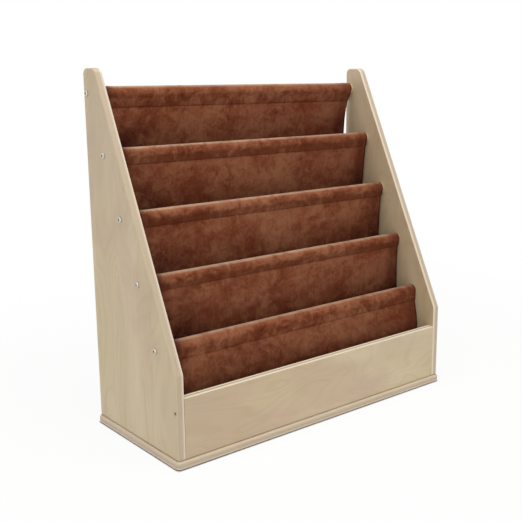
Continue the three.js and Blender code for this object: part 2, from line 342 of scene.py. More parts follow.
birch = {
    "pale": fromScreen(217, 199, 166),
    "plain": fromScreen(208, 189, 151),
    "warm": fromScreen(199, 174, 146),
    "streak": fromScreen(178, 152, 118),
    "crossPly": fromScreen(196, 176, 149),
    "core": fromScreen(196, 179, 156),
    # the next two: colours of the painted highlight on the rounded rims
    "rim": fromScreen(247, 229, 210),
    "creamHighlight": fromScreen(247, 235, 210),
    "glue": fromScreen(150, 122, 86),
    # the painted shade along a board's foot, and the dark of voids between plies
    "foot": fromScreen(74, 60, 44),
    "plies": 7,
    "withinFaces": 0.001,  # of the thickness, so that a face itself counts as its outer ply
    "roughness": 0.48,
    "fibreRoughness": 0.08,
    "coat": 0.3,
    "coatRoughness": 0.16,
    "relief": 0.0001,  # in metres, and each pattern's share in it
    "fibreRelief": 0.6,
    "fleckRelief": 0.4,
    "jointRelief": 0.8,
    "patterns": {
        "growth": ((2.6, 9.0, 0.3), 0.0, 2.0, 0.5, 0.6),
        "bands": ((2.0, 13.0, 0.0), 3.1, 3.0),
        "patches": ((6.5, 11.0, 0.0), 7.3, 3.0, 0.5, 0.5),
        "curls": ((20.0, 44.0, 0.0), 5.9, 2.0, 0.5, 1.6),
        "fibres": ((18.0, 640.0, 5.0), 0.0, 2.0, 0.6),
        "flecks": ((75.0, 950.0, 0.0), 9.4, 1.0),
    },
    "contours": 15.0,  # growth lines over the range of the growth pattern
    "plyClouds": (7.7, 2.5),  # seed from ply to ply, and changes per metre
    "voids": (5.3, 16.0),  # the same, from joint to joint
    # between which two values each thing fades in
    "fades": {
        "plain": (0.36, 0.66),
        "line": (0.45, 1.0),
        "lineBand": (0.3, 0.6),
        "curl": (0.016, 0.0),
        "curlPlace": (0.5, 0.62),
        "fibre": (0.5, 0.85),
        "fleck": (0.72, 0.8),
        "inBoard": (0.05, 0.1),
        "plyCloud": (0.45, 0.7),
        "joint": (0.43, 0.49),
        "void": (0.7, 0.74),
        "voidJoint": (0.36, 0.46),
        "offFace": (0.01, 0.05),
        "lowRimHighlight": (0.45, 0.08),
        "highRimHighlight": (0.55, 0.92),
    },
    # how much of each colour is laid over those before it
    "warmShare": 0.75,
    "lineShare": 0.2,
    "plainLineShare": 0.4,  # of a growth line where there is no band
    "curlShare": 0.3,
    "fibreShare": 0.25,
    "fleckShare": 0.3,
    "coreShare": 0.7,
    "crossPlyShare": 0.45,
    "plyCloudShare": 0.4,
    "jointShare": 0.3,
    "voidShare": 0.7,
}


def birchPlywood(name, wood, low, high):
    # solid plywood: its colour follows how deep in the board a point lies, so edges show the plies
    finish = Finish(name)
    fades = birch["fades"]
    split = finish.coordinates()
    otherAxis = ({"X", "Y", "Z"} - {wood["plyAxis"], wood["grainAxis"]}).pop()
    along = split.out(wood["grainAxis"])
    across = split.out(otherAxis)
    face, otherFace = (getattr(corner, wood["plyAxis"].lower()) for corner in (low, high))
    depth = (split.out(wood["plyAxis"]) - face) / (otherFace - face)
    least = birch["withinFaces"]
    inside = finish.sum("MINIMUM", finish.sum("MAXIMUM", depth, least), 1.0 - least) * birch["plies"]
    ply = finish.sum("FLOOR", inside)
    toJoint = abs(finish.sum("FRACT", inside) - 0.5)

    # the rotary-cut face: soft patches, growth lines that wander like contours, and fine fibres
    growth, bands, patches, curls, fibres, flecks = finish.patterns(
        birch["patterns"], (along, across, depth), wood["seed"],
    )
    contour = abs(finish.sum("FRACT", growth * birch["contours"]) - 0.5) * 2.0
    colour = finish.mix(birch["pale"], birch["plain"], finish.between(bands, *fades["plain"]))
    warm = finish.between(patches + along * wood["warmPerMetre"], *wood["warmFade"])
    colour = finish.mix(colour, birch["warm"], warm * birch["warmShare"])
    inBand = finish.between(bands, *fades["lineBand"]) * (1.0 - birch["plainLineShare"])
    line = finish.between(contour, *fades["line"]) * (inBand + birch["plainLineShare"])
    curl = finish.between(abs(curls - 0.5), *fades["curl"]) * finish.between(growth, *fades["curlPlace"])
    for streak, share in (
        (line, birch["lineShare"]),
        (curl, birch["curlShare"]),
        (finish.between(fibres, *fades["fibre"]), birch["fibreShare"]),
        (finish.between(flecks, *fades["fleck"]), birch["fleckShare"]),
    ):
        colour = finish.mix(colour, birch["streak"], streak * share)

    # the cut edge: every other ply shows its end grain, and a thin dark line parts the plies
    seedStep, fineness = birch["plyClouds"]
    ownSeed = ply * seedStep + wood["seed"]
    shade = finish.cloud(finish.point(ownSeed, along * fineness, across * fineness), 1.0)
    inBoard = finish.between(depth, *fades["inBoard"]) * finish.between(1.0 - depth, *fades["inBoard"])
    colour = finish.mix(colour, birch["core"], inBoard * birch["coreShare"])
    plyClouds = finish.between(shade, *fades["plyCloud"]) * birch["plyCloudShare"]
    colour = finish.mix(colour, birch["crossPly"], (ply % 2.0) * birch["crossPlyShare"] + plyClouds)
    joint = finish.between(toJoint, *fades["joint"]) * inBoard
    seedStep, fineness = birch["voids"]
    ownSeed = finish.sum("FLOOR", inside + 0.5) * seedStep + wood["seed"]
    voids = finish.cloud(finish.point(ownSeed, along * fineness, across * fineness), 1.0)
    void = finish.between(voids, *fades["void"]) * finish.between(toJoint, *fades["voidJoint"]) * inBoard
    colour = finish.mix(colour, birch["glue"], joint * birch["jointShare"])
    colour = finish.mix(colour, birch["foot"], void * birch["voidShare"])

    # the rounded rims are painted paler as a highlight, and a line along the foot darker as painted shade
    offFace = finish.between(finish.sum("MINIMUM", depth, 1.0 - depth), *fades["offFace"])
    lowRimHighlight = finish.between(depth, *fades["lowRimHighlight"]) * wood["lowRimHighlight"]
    highRimHighlight = finish.between(depth, *fades["highRimHighlight"]) * wood["highRimHighlight"]
    colour = finish.mix(colour, wood["rimHighlightColour"], (lowRimHighlight + highRimHighlight) * offFace)
    # painted shade: a dark line along the foot, where the board meets what it stands on
    footShade = finish.between(split.out("Z") - low.z, wood["footShadeHeight"], wood["footShadeHeight"] / 2)
    colour = finish.mix(colour, birch["foot"], footShade * wood["footShadeShare"])
    relief = fibres * birch["fibreRelief"] - flecks * birch["fleckRelief"] - joint * birch["jointRelief"]
    return finish.surface({
        "Base Color": colour,
        "Roughness": birch["roughness"] + fibres * birch["fibreRoughness"],
        "Normal": finish.bump(relief, birch["relief"]),
        "Coat Weight": birch["coat"],
        "Coat Roughness": birch["coatRoughness"],
    })


dowelWood = {
    "pale": fromScreen(222, 203, 166),
    "line": fromScreen(190, 160, 116),
    "patterns": {
        "rings": ((2.0, 190.0, 120.0), 0.0, 3.0, 0.6, 0.5),
        "fibres": ((22.0, 900.0, 900.0), 0.0, 2.0),
    },
    "ringFade": (0.4, 0.75),
    "ringShare": 0.6,
    "fibreFade": (0.5, 0.8),
    "fibreShare": 0.4,
    "roughness": 0.55,
    "fibreRoughness": 0.1,
    "relief": 0.0001,
}


def turnedBirch(name):
    finish = Finish(name)
    split = finish.coordinates()
    rings, fibres = finish.patterns(dowelWood["patterns"], [split.out(axis) for axis in "XYZ"])
    ring = finish.between(rings, *dowelWood["ringFade"]) * dowelWood["ringShare"]
    fibre = finish.between(fibres, *dowelWood["fibreFade"]) * dowelWood["fibreShare"]
    colour = finish.mix(dowelWood["pale"], dowelWood["line"], ring)
    return finish.surface({
        "Base Color": finish.mix(colour, dowelWood["line"], fibre),
        "Roughness": dowelWood["roughness"] + fibres * dowelWood["fibreRoughness"],
        "Normal": finish.bump(fibres, dowelWood["relief"]),
    })


# Screws

steel = {
    "colour": fromScreen(196, 192, 178),
    "shade": fromScreen(118, 114, 102),
    # the painted shade in the cross recess
    "recess": fromScreen(20, 17, 13),
    "fineness": 900.0,
    "detail": 3.0,
    "hazeFade": (0.5, 0.8),
    "hazeShare": 0.5,
    "recessFade": (0.0, 0.7),
    "roughness": 0.3,
    "hazeRoughness": 0.12,
    "relief": 0.00003,
}


def brightSteel(name):
    finish = Finish(name)
    haze = finish.speckle(steel["fineness"], steel["detail"])
    hazed = finish.between(haze, *steel["hazeFade"]) * steel["hazeShare"]
    colour = finish.mix(steel["colour"], steel["shade"], hazed)
    # painted shade at the bottom of the cross recess
    inRecessShade = finish.between(finish.mark("recess"), *steel["recessFade"])
    return finish.surface({
        "Base Color": finish.mix(colour, steel["recess"], inRecessShade),
        "Metallic": 1.0,
        "Roughness": steel["roughness"] + haze * steel["hazeRoughness"],
        "Normal": finish.bump(haze, steel["relief"]),
    })


screwShape = {
    "shank": 0.0023,
    "tip": 0.0006,
    "point": 0.004,
    "sides": 32,
    "clearance": 0.0003,
    "panHead": 0.00625,
    "panHeight": 0.003,
    "panWall": 0.0009,
    "panCrown": 0.003,
    "panSteps": 6,
    "smoothAngle": 30,
    "flatHead": 0.0045,
    "flatDepth": 0.0032,
    "flatRim": 0.0004,
    "crossLength": 0.008,
    "crossWidth": 0.0028,
    "crossDepth": 0.0022,
    "crossTaper": 0.45,  # of a blade's length
    "crossSideTaper": 0.8,  # of its width
    "floorTouch": 0.0001,
    "holeRise": 0.004,
    "firstTurn": 0.7,
    "turnStep": 1.9,  # how much further each screw is turned than the one before
}
screwCounts = {"dowels": 5, "baseScrews": 3}


def crossCutters(top):
    # two tapered blades that leave a cross recess, narrower at its bottom
    long, wide, deep = (screwShape[name] for name in ("crossLength", "crossWidth", "crossDepth"))
    taper, sideTaper = screwShape["crossTaper"], screwShape["crossSideTaper"]
    cutters = []
    for number, (size, narrowing) in enumerate((
        ((long, wide), (taper, sideTaper)),
        ((wide, long), (sideTaper, taper)),
    )):
        half = Vector((*size, 0)) / 2
        low = -half + Vector((0, 0, top - deep))
        high = half + Vector((0, 0, top + deep))
        cutter = boxPiece(f"crossCutter{number}", low, high)
        for corner in cutter.data.vertices:
            if corner.co.z < top:
                corner.co.x *= narrowing[0]
                corner.co.y *= narrowing[1]
        cutters.append(cutter)
    return cutters


def finishedScrew(name, length, headRings, top):
    # point, shank and head, then the cross: its bottom is painted dark as shade, and its walls fade into it
    rings = [(screwShape["tip"], -length), (screwShape["shank"], -length + screwShape["point"]), *headRings]
    screw = turnedPiece(name, rings, screwShape["sides"], Vector(), Vector((0, 0, 1)))
    cutAway(screw, crossCutters(top))
    floor = top - screwShape["crossDepth"]
    mark = screw.data.attributes.new("recess", "FLOAT", "POINT")
    for corner in screw.data.vertices:
        inCross = corner.co.xy.length < screwShape["crossLength"] / 2
        onFloor = abs(corner.co.z - floor) < screwShape["floorTouch"]
        mark.data[corner.index].value = 1.0 if inCross and onFloor else 0.0
    return screw


def panHeadScrew(name, length):
    rim, wall = screwShape["panHead"], screwShape["panWall"]
    crown, top = screwShape["panCrown"], screwShape["panHeight"]
    rings = [(screwShape["shank"], 0), (rim, 0), (rim, wall)]
    for step in range(1, screwShape["panSteps"] + 1):
        angle = math.pi / 2 * step / screwShape["panSteps"]
        rings.append((crown + (rim - crown) * math.cos(angle), wall + (top - wall) * math.sin(angle)))
    return finishedScrew(name, length, rings, top)


def flatHeadScrew(name, length):
    head = screwShape["flatHead"]
    rings = [(screwShape["shank"], -screwShape["flatDepth"]), (head, -screwShape["flatRim"]), (head, 0)]
    return finishedScrew(name, length, rings, 0)


def copyOf(model, name, place, outward, turn):
    # a copy with its own mesh, stood in its place
    piece = model.copy()
    piece.data = model.data.copy()
    piece.name = name
    piece.data.name = name
    bpy.context.scene.collection.objects.link(piece)
    stand(piece, place, outward, turn)
    return piece


def screwHole(place, outward, length, countersunk):
    gap = screwShape["clearance"]
    shank = screwShape["shank"] + gap
    rings = [(shank, -length - gap), (shank, screwShape["holeRise"])]
    if countersunk:
        head = screwShape["flatHead"] + gap
        rings[1:] = [(shank, -screwShape["flatDepth"] - gap), (head, -gap), (head, screwShape["holeRise"])]
    return turnedPiece("screwHole", rings, screwShape["sides"], place, outward)


screwList = []


def listScrew(node, kind, outward, through, into):
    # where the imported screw's head meets its seat, and its length under it
    low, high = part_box(node)
    tip, top = (low, high) if max(outward) > 0 else (high, low)
    seat = (low + high) / 2
    axis = max(range(3), key=lambda number: abs(outward[number]))
    seat[axis] = top[axis] - outward[axis] * (screwShape["panHeight"] if kind == "pan" else 0)
    screwList.append(SimpleNamespace(
        node=node, kind=kind, seat=seat, length=abs(seat[axis] - tip[axis]),
        outward=outward, through=through, into=into,
    ))


for side, outward in (("left", Vector((-1, 0, 0))), ("right", Vector((1, 0, 0)))):
    for number in range(1, screwCounts["dowels"] + 1):
        listScrew(f"dowel_screw_{side}_{number}", "pan", outward, side, f"dowel_{number}")
    listScrew(f"front_panel_screw_{side}", "front", outward, side, "front")
for into in ("left", "right", "front"):
    for number in range(1, screwCounts["baseScrews"] + 1):
        listScrew(f"base_screw_{into}_{number}", "base", Vector((0, 0, -1)), "base", into)


def holesIn(part):
    # one cutter for each screw that passes through a piece or ends in it
    return [
        screwHole(screw.seat, screw.outward, screw.length, screw.kind != "pan")
        for screw in screwList if part in (screw.through, screw.into)
    ]


def makeScrews():
    material = brightSteel("brightZinc")
    models = {}
    for count, screw in enumerate(screwList):
        head, make = ("pan", panHeadScrew) if screw.kind == "pan" else ("flat", flatHeadScrew)
        if screw.kind not in models:
            models[screw.kind] = make(f"{screw.kind}Model", screw.length)
            smoothed(models[screw.kind], screwShape["smoothAngle"])
        name = screw.node.replace("screw", f"{head}_screw")
        turn = screwShape["firstTurn"] + screwShape["turnStep"] * count
        piece = copyOf(models[screw.kind], name, screw.seat, screw.outward, turn)
        settle(piece, material, "screw_steel", screw.node)
    for model in models.values():
        bpy.data.objects.remove(model)


makeScrews()
print("screws made:", len(screwList))


# Side panels

sideShape = {
    "kneeHeight": 0.1905,
    "topDepth": 0.046,
    "topBackRound": 0.013,
    "topFrontRound": 0.018,
    "kneeRound": 0.012,
    "cornerSteps": 8,
    "edgeRound": 0.003,
    "edgeSteps": 5,
    "easing": 0.0006,  # a fine chamfer where a board stands on another
}
# the rim shares: how strong the painted highlight is on the rounded edges at a board's low and high face on
# its plyAxis
sideWood = {
    "plyAxis": "X",
    "grainAxis": "Z",
    "warmFade": (0.56, 0.96),
    "warmPerMetre": 0.4,
    "rimHighlightColour": birch["rim"],
    # a line of painted shade along the foot, where the panel stands on the base
    "footShadeHeight": 0.0022,
    "footShadeShare": 0.45,
}
sideWoods = {
    "left": {**sideWood, "seed": 11.0, "lowRimHighlight": 0.0, "highRimHighlight": 0.8},
    "right": {**sideWood, "seed": 47.0, "lowRimHighlight": 0.8, "highRimHighlight": 0.2},
}


def cornerOffset(radius, interiorAngle):
    # how far from a corner a round of that radius starts
    return radius / math.tan(interiorAngle / 2)


def sidePanel(side):
    low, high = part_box(f"{side}_side_panel")
    slopeTop = Vector((0, high.y - sideShape["topDepth"], high.z))
    knee = Vector((0, low.y, sideShape["kneeHeight"]))
    slope = slopeTop - knee
    panel = boxPiece(f"plywood_side_{side}", low, high)
    startEditing(panel)
    bpy.ops.mesh.select_all(action="SELECT")
    frontward = Vector((0, -slope.z, slope.y))
    bpy.ops.mesh.bisect(plane_co=knee, plane_no=frontward, use_fill=True, clear_outer=True)

    lean = math.atan2(slope.y, slope.z)
    corners = [
        (Vector((0, high.y, high.z)), cornerOffset(sideShape["topBackRound"], math.pi / 2)),
        (slopeTop, cornerOffset(sideShape["topFrontRound"], math.pi / 2 + lean)),
        (knee, cornerOffset(sideShape["kneeRound"], math.pi - lean)),
    ]
    for corner, offset in corners:
        chooseEdges(panel, lambda middle, direction: (
            runsAlong("x", direction) and meets((middle.yz - corner.yz).length, 0)
        ))
        roundEdges(offset, sideShape["cornerSteps"])
    chooseEdges(panel, lambda middle, direction: (
        (meets(middle.x, low.x) or meets(middle.x, high.x)) and middle.z > low.z + picking["touch"]
    ))
    roundEdges(sideShape["edgeRound"], sideShape["edgeSteps"])
    chooseEdges(panel, lambda middle, direction: meets(middle.z, low.z))
    roundEdges(sideShape["easing"], 1)
    stopEditing()
    cutAway(panel, holesIn(side))
    smoothed(panel)
    material = birchPlywood(f"birch_{side}", sideWoods[side], low, high)
    settle(panel, material, "plywood", f"{side}_side_panel")


for side in ("left", "right"):
    sidePanel(side)
print("side panels made")


# Base board and front panel

baseShape = {
    "cornerRound": 0.011,
    "cornerSteps": 8,
    "upperRound": 0.005,
    "upperSteps": 6,
    "footRound": 0.0035,
    "footSteps": 4,
}
baseWood = {
    "plyAxis": "Z",
    "grainAxis": "X",
    "seed": 83.0,
    "warmFade": (0.4, 0.8),
    "warmPerMetre": 0.0,
    "rimHighlightColour": birch["rim"],
    # painted highlight on the rounded rims, at the bottom and at the top
    "lowRimHighlight": 0.7,
    "highRimHighlight": 0.35,
    # a line of painted shadow along the foot, where the board stands on the floor
    "footShadeHeight": 0.0036,
    "footShadeShare": 0.95,
}


def baseBoard():
    low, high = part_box("base_board")
    board = boxPiece("plywood_base", low, high)
    startEditing(board)
    chooseEdges(board, lambda middle, direction: runsAlong("z", direction))
    roundEdges(baseShape["cornerRound"], baseShape["cornerSteps"])
    chooseEdges(board, lambda middle, direction: meets(middle.z, high.z))
    roundEdges(baseShape["upperRound"], baseShape["upperSteps"])
    chooseEdges(board, lambda middle, direction: meets(middle.z, low.z))
    roundEdges(baseShape["footRound"], baseShape["footSteps"])
    stopEditing()
    cutAway(board, holesIn("base"))
    smoothed(board)
    settle(board, birchPlywood("birch_base", baseWood, low, high), "plywood", "base_board")


frontShape = {
    "upperRound": 0.0018,
    "upperSteps": 4,
    "easing": 0.0003,  # a fine chamfer where it meets the other boards
}
frontWood = {
    "plyAxis": "Y",
    "grainAxis": "X",
    "seed": 121.0,
    "warmFade": (0.24, 0.64),
    "warmPerMetre": -0.5,
    "rimHighlightColour": birch["creamHighlight"],
    # painted highlight on the rounded rims, at the front and more at the back
    "lowRimHighlight": 3.0,
    "highRimHighlight": 6.0,
    # a line of painted shade along the foot, where the panel stands on the base
    "footShadeHeight": 0.0022,
    "footShadeShare": 0.45,
}


def frontPanel():
    low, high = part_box("front_panel")
    panel = boxPiece("plywood_front", low, high)
    startEditing(panel)
    chooseEdges(panel, lambda middle, direction: runsAlong("x", direction) and meets(middle.z, high.z))
    roundEdges(frontShape["upperRound"], frontShape["upperSteps"])
    chooseEdges(panel, lambda middle, direction: (
        meets(middle.z, low.z) or meets(middle.x, low.x) or meets(middle.x, high.x)
    ))
    roundEdges(frontShape["easing"], 1)
    stopEditing()
    cutAway(panel, holesIn("front"))
    smoothed(panel)
    settle(panel, birchPlywood("birch_front", frontWood, low, high), "plywood", "front_panel")


baseBoard()
frontPanel()
print("base board and front panel made")


# Dowels

dowelShape = {"chamfer": 0.0008, "sides": 64}
dowelBoxes = [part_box(f"dowel_{number}") for number in range(1, screwCounts["dowels"] + 1)]
dowelAxes = [(low + high) / 2 for low, high in dowelBoxes]  # the middle of each dowel, from the top one down
dowelRadius = max((high.z - low.z) / 2 for low, high in dowelBoxes)
dowelHalfLength = max((high.x - low.x) / 2 for low, high in dowelBoxes)


def makeDowels():
    material = turnedBirch("dowelBirch")
    chamfer = dowelShape["chamfer"]
    profile = [
        (dowelRadius - chamfer, -dowelHalfLength),
        (dowelRadius, -dowelHalfLength + chamfer),
        (dowelRadius, dowelHalfLength - chamfer),
        (dowelRadius - chamfer, dowelHalfLength),
    ]
    for number, axis in enumerate(dowelAxes, 1):
        dowel = turnedPiece(f"round_dowel_{number}", profile, dowelShape["sides"], axis, Vector((1, 0, 0)))
        cutAway(dowel, holesIn(f"dowel_{number}"))
        smoothed(dowel)
        settle(dowel, material, "dowel_wood", f"dowel_{number}")


makeDowels()
print("dowels made")


# Cloth: the shape that the sewn pockets hang in, as a path in (Y, Z) that is carried across in X

clothShape = {
    "hemThickness": 0.0012,  # the folded side hem
    "singleShare": 0.6,  # one layer, as a share of the hem
    "clearance": 0.0003,
    "play": 0.013,  # how much narrower it is than the gap between the side panels
    "pocketDrop": 0.150,  # from the middle of a pocket's front dowel down to the pocket's bottom
    "loopRise": 0.035,
    "rippleHeight": 0.0015,
    "rippleWaves": 1.5,
    "wallMidDropShare": 0.5,
    # how much of the play is at the right end, at each dowel and at each pocket's bottom
    "dowelPlayShares": (0.46, 0.38, 0.38, 0.23, 0.12),
    "loopPlayShares": (0.77, 0.46, 0.38, 0.23),
    # how far each seam and wall lies behind its dowel, and each seam under it, in tunnel radii
    "seamShiftShares": (0.15, -0.5, -0.48, -0.59, -0.81),
    "seamDropShares": (2.23, 1.6, 1.54, 1.38, 1.8),
    "wallMidShares": (0.7, -0.11, -0.26, -0.51, -1.55),
    "wallLowShares": (0.88, 0.22, -0.15, -0.55, -1.5),
    # rows of the mesh from a seam round its dowel, down a wall and round a pocket's bottom
    "tunnelSteps": 38,
    "flatSteps": 7,  # between a seam and the round of its tunnel
    "flatCrowding": 1.6,  # over 1, the rows are closer near the seam
    "wallSteps": 34,
    "wallCrowding": 1.35,
    "dropSteps": 14,
    "loopSteps": 20,
    "hemWidth": 0.025,
    "hemStitchInset": 0.022,
    # columns of the mesh: distances from a side edge, and the pitch between them further in
    "edgeColumns": (
        0, 0.0007, 0.0025, 0.006, 0.010, 0.0145, 0.0185, 0.0205, 0.022, 0.0235, 0.025, 0.0258, 0.028,
    ),
    "columnPitch": 0.0031,
    "smoothAngle": 50,
}
seamShape = {
    "wallSwell": 0.0015,  # the cloth rises from the stitched line on both sides of it
    "tunnelSwell": 0.0030,
    "near": 0.0024,  # how soon it has risen, and how far on it lies flat again
    "far": 0.010,
    "hemHeight": 0.0006,
    "hemLevel": 0.6,
    "hemFar": 0.005,
    "shadeWidth": 0.0013,  # the dark line along the stitches
    "hemShare": 0.6,
    "lineShares": (0.7, 0.2, 0.15, 0.15, 0.3),  # how dark each seam's line is
    # painted shade on the lower part of each tunnel, above its seam
    "bandShares": (0.5, 1.0, 1.0, 1.0, 0.65),  # and the drawn-in foot of each tunnel
    "bandParts": ((0.35, -0.6, 0.3), (0.65, 0.0, 0.65)),  # share, start and length, down from the axis
    # the rub shares: how far up each tunnel's top the wear and painted highlight reach
    "rubHighlightShares": (1.0, 1.0, 0.98, 0.96, 0.89),  # and how far up each tunnel's top is rubbed
    # how much painted shade each wall has at its seam and deep down, and how far under the seam that is
    "shadyTops": (0.0, 0.38, 0.3, 0.34, 0.75),
    "shadyFeet": (1.15, 1.0, 1.0, 1.05, 1.25),
    "shadyDrops": (0.08, 0.095, 0.095, 0.095, 0.05),
    "shadyEdges": (1.0, 1.0, 1.0, 1.0, 0.35),  # and how much of that is left at its side edges
    "shadyEdgeWidth": 0.2,
}
puckers = {
    "pitch": 0.0105,
    "height": 0.0011,
    "level": 0.4,  # how high on a pucker the cloth's even swell lies
    "wander": 0.9,  # how many pitches a crest strays, and over what length
    "wanderLength": 0.045,
    "strength": 0.6,  # and how much that changes, and over what length
    "strengthChange": 0.7,
    "strengthLength": 0.03,
    "strengthSeeds": (9.0, 4.0),
    "wallSeed": 7.0,
    "hemSeed": 31.0,
}
waves = {
    "acrossPerMetre": 4.2,
    "downPerMetre": 3.0,
    "height": 0.0035,
    "fineAcrossPerMetre": 17.0,
    "fineDownPerMetre": 7.0,
    "fineHeight": 0.0009,
    "edgeCurl": 0.0012,
    "edgeCurlWidth": 0.018,
    "bottomShare": 0.6,  # of the waves, up and down in a pocket's bottom
    "wallSeed": 10.0,
    "seed": 3.3,
    "fineSeed": 5.7,
}
# what the cloth's material reads at each point: how far up the round of a dowel it lies, how near a
# line of stitches, how near the foot of a tunnel, and how deep in a pocket
clothMarks = ("rub", "stitchShade", "drawnBand", "shady")

innerHalfWidth = -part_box("left_side_panel")[1].x
tunnelRadius = dowelRadius + clothShape["clearance"] + clothShape["hemThickness"] / 2
layerPitch = clothShape["hemThickness"] + clothShape["clearance"]
clothWidth = 2 * innerHalfWidth - clothShape["play"]


def blended(first, second, share):
    return first + (second - first) * share


def eased(share):
    share = min(max(share, 0.0), 1.0)
    return share * share * (3 - 2 * share)


def seamPoint(index):
    axis = dowelAxes[index]
    return Vector((
        axis.y + clothShape["seamShiftShares"][index] * tunnelRadius,
        axis.z - clothShape["seamDropShares"][index] * tunnelRadius,
    ))


def tangentAngle(axis, point, side):
    # where a straight line from a point under the dowel touches the tunnel's round
    reach = point - axis.yz
    return math.atan2(reach.y, reach.x) + side * math.acos(tunnelRadius / reach.length)


def clothRow(place, play, sway, wall, depth, rub=None):
    # sway: how much it waves. wall, depth: which dowel's wall it belongs to, and how far under the seam.
    # rub: how far up the round of its dowel it lies, or None where it is no tunnel
    return SimpleNamespace(place=place, play=play, sway=sway, wall=wall, depth=depth, rub=rub)


def tunnelRows(index):
    # from the seam's back layer up behind the dowel, over it and down to the seam's front layer
    axis = dowelAxes[index]
    seam = seamPoint(index)
    backSeam = seam + Vector((layerPitch, 0))
    fromAngle = tangentAngle(axis, backSeam, 1)
    toAngle = tangentAngle(axis, seam, -1) + 2 * math.pi
    play = clothShape["dowelPlayShares"][index]
    steps = clothShape["tunnelSteps"]
    radius = tunnelRadius / math.cos((toAngle - fromAngle) / steps / 2)
    start = axis.yz + radius * Vector((math.cos(fromAngle), math.sin(fromAngle)))
    end = axis.yz + radius * Vector((math.cos(toAngle), math.sin(toAngle)))
    flatSteps = clothShape["flatSteps"]
    flatShares = [(step / flatSteps) ** clothShape["flatCrowding"] for step in range(flatSteps)]
    rows = [clothRow(backSeam.lerp(start, share), play, 0, index, 0, 0.0) for share in flatShares]
    for step in range(steps + 1):
        angle = blended(fromAngle, toAngle, step / steps)
        place = axis.yz + radius * Vector((math.cos(angle), math.sin(angle)))
        rows.append(clothRow(place, play, 0, index, 0, max(0.0, math.sin(angle))))
    rows += [clothRow(seam.lerp(end, share), play, 0, index, 0, 0.0) for share in reversed(flatShares)]
    return rows


def curvePoint(points, share):
    # a curve through the points, with the same slope at a point as the line between its neighbours
    position = (len(points) - 1) * share
    number = min(int(position), len(points) - 2)
    t = position - number
    first, second = points[number], points[number + 1]
    leave = (second - points[max(number - 1, 0)]) / 2
    arrive = (points[min(number + 2, len(points) - 1)] - first) / 2
    return (
        first * (2 * t ** 3 - 3 * t ** 2 + 1) + leave * (t ** 3 - 2 * t ** 2 + t)
        + second * (3 * t ** 2 - 2 * t ** 3) + arrive * (t ** 3 - t ** 2)
    )


def wallRows(index, lowPlay):
    # the hanging wall under a seam, down to where the pocket behind it starts to round
    axis = dowelAxes[index]
    seam = seamPoint(index)
    drop = clothShape["pocketDrop"]
    mid = Vector((
        axis.y + clothShape["wallMidShares"][index] * tunnelRadius,
        axis.z - clothShape["wallMidDropShare"] * drop,
    ))
    low = Vector((
        axis.y + clothShape["wallLowShares"][index] * tunnelRadius,
        axis.z - drop + clothShape["loopRise"],
    ))
    steps = clothShape["wallSteps"]
    rows = []
    for step in range(steps + 1):
        share = (step / steps) ** clothShape["wallCrowding"]
        place = curvePoint([seam, mid, low], share)
        play = blended(clothShape["dowelPlayShares"][index], lowPlay, share)
        rows.append(clothRow(place, play, eased(share), index, seam.y - place.y))
    return rows


def slingRows(index):
    # one pocket: its tunnel, the wall that hangs from it, the round bottom and the wall that rises
    following = index + 1
    isLast = following == len(dowelAxes) - 1
    lowPlay = clothShape["loopPlayShares"][index]
    nextPlay = clothShape["dowelPlayShares"][following]
    back = wallRows(index, lowPlay)
    front = wallRows(following, nextPlay)[::-1]
    if not isLast:
        for row in front:
            row.place = row.place + Vector((layerPitch, 0))
    backFoot, frontFoot = back[-1].place, front[0].place
    drop = backFoot.y - frontFoot.y
    steps = clothShape["dropSteps"]
    for step in range(1, steps + 1):
        place = Vector((backFoot.x, backFoot.y - drop * step / steps))
        back.append(clothRow(place, lowPlay, 1, index, seamPoint(index).y - place.y))
    halfDepth = (backFoot.x - frontFoot.x) / 2
    loop = []
    steps = clothShape["loopSteps"]
    for step in range(1, steps):
        angle = math.pi * step / steps
        place = Vector((
            frontFoot.x + halfDepth + halfDepth * math.cos(angle),
            frontFoot.y - clothShape["loopRise"] * math.sin(angle),
        ))
        row = clothRow(place, blended(lowPlay, nextPlay, step / steps), 1, index, back[-1].depth)
        row.turn = step / steps  # how far round the bottom, from this wall to the next
        row.nextDepth = front[0].depth
        loop.append(row)
    tunnel = tunnelRows(index)
    rows = [*tunnel, *back[1:], *loop, *front]
    seams = [0, len(tunnel) - 1]
    if isLast:
        rows = rows[:-1]
        seams.append(len(rows))
        rows += tunnelRows(following)[::-1]
    else:
        rows[-1].place = rows[-1].place - Vector((0, clothShape["clearance"]))
    seams.append(len(rows) - 1)

    # how far along the cloth each row is, where its inner face looks, and how far it is from a seam
    length = 0.0
    for number, row in enumerate(rows):
        if number:
            length += (row.place - rows[number - 1].place).length
        row.along = length
        before = rows[max(number - 1, 0)].place
        after = rows[min(number + 1, len(rows) - 1)].place
        tangent = (after - before).normalized()
        row.normal = Vector((tangent.y, -tangent.x))
        row.puff = 1.0
        if isLast and number > seams[1] + clothShape["wallSteps"] + clothShape["dropSteps"]:
            row.puff = blended(1.0, -1.0, getattr(row, "turn", 1.0))
    for row in rows:
        row.fromSeam = min(abs(row.along - rows[seam].along) for seam in seams)
    return rows, seams


def wallDrift(wall, x, depth):
    # the long shallow waves of a hanging wall, to the front or the back
    seed = waves["wallSeed"] * wall
    long = Vector((x * waves["acrossPerMetre"], depth * waves["downPerMetre"], seed + waves["seed"]))
    fine = Vector((
        x * waves["fineAcrossPerMetre"], depth * waves["fineDownPerMetre"], seed + waves["fineSeed"],
    ))
    return waves["height"] * noise.noise(long) + waves["fineHeight"] * noise.noise(fine)


